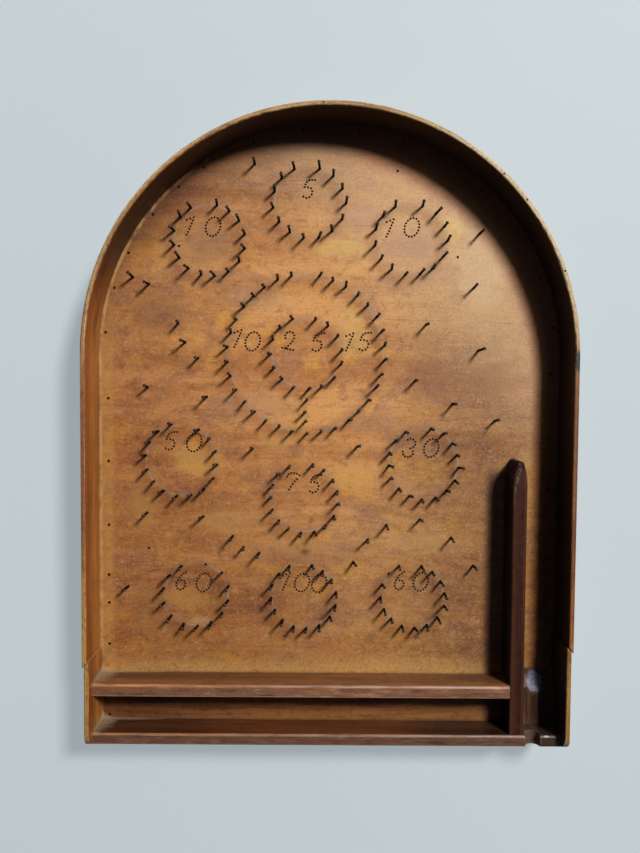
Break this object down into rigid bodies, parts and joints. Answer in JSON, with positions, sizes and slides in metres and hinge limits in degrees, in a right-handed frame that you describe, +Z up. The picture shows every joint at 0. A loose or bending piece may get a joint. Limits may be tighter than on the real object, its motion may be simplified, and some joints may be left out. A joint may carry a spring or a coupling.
{
  "type": "bagatelle board game",
  "caption": "Arch-topped wooden bagatelle board with a bent rim, shooting lane, ball trough, scoring pockets of upright pins and punched numerals.",
  "frame": {"origin": "on the table, under the middle of the board's overall length and width", "axes": "+Z up from the playing surface, +Y up the board towards the arch and away from the player, +X to the player's right, where the shooting lane is"},
  "size_m": [0.38, 0.4966, 0.046],
  "materials": {
    "panel_wood": "old clear varnish, satin",
    "rim_wood": "old varnish, satin, worn pale on the upper edge",
    "dark_wood": "dark stained and varnished, satin",
    "ledger_wood": "bare, unfinished",
    "pin_iron": "dark iron, heads rubbed bright",
    "nail_iron": "dark, slightly rusted",
    "screw_iron": "dull steel"
  },
  "bodies": {
    "root": {"base_panel": "panel_wood", "rim_arch": "rim_wood", "rim_side_left": "rim_wood", "rim_side_right": "rim_wood", "upper_rail": "dark_wood", "bottom_rail": "dark_wood", "lane_divider": "dark_wood", "lane_block": "dark_wood", "ledger_arch_right": "ledger_wood", "ledger_arch_top": "ledger_wood", "ledger_arch_left": "ledger_wood", "ledger_left": "ledger_wood", "ledger_right": "ledger_wood", "ledger_bottom": "ledger_wood", "pins_5": "pin_iron", "pins_10_left": "pin_iron", "pins_10_right": "pin_iron", "pins_outer_ring": "pin_iron", "pins_inner_ring": "pin_iron", "pins_50": "pin_iron", "pins_30": "pin_iron", "pins_75": "pin_iron", "pins_60_left": "pin_iron", "pins_100": "pin_iron", "pins_60_right": "pin_iron", "pins_spine": "pin_iron", "pins_field": "pin_iron", "panel_nails": "nail_iron", "rim_nails": "nail_iron", "rail_nails": "nail_iron", "upper_rail_screws": "screw_iron", "bottom_rail_screws": "screw_iron", "divider_screws": "screw_iron", "block_screw": "screw_iron"}
  },
  "joints": []
}
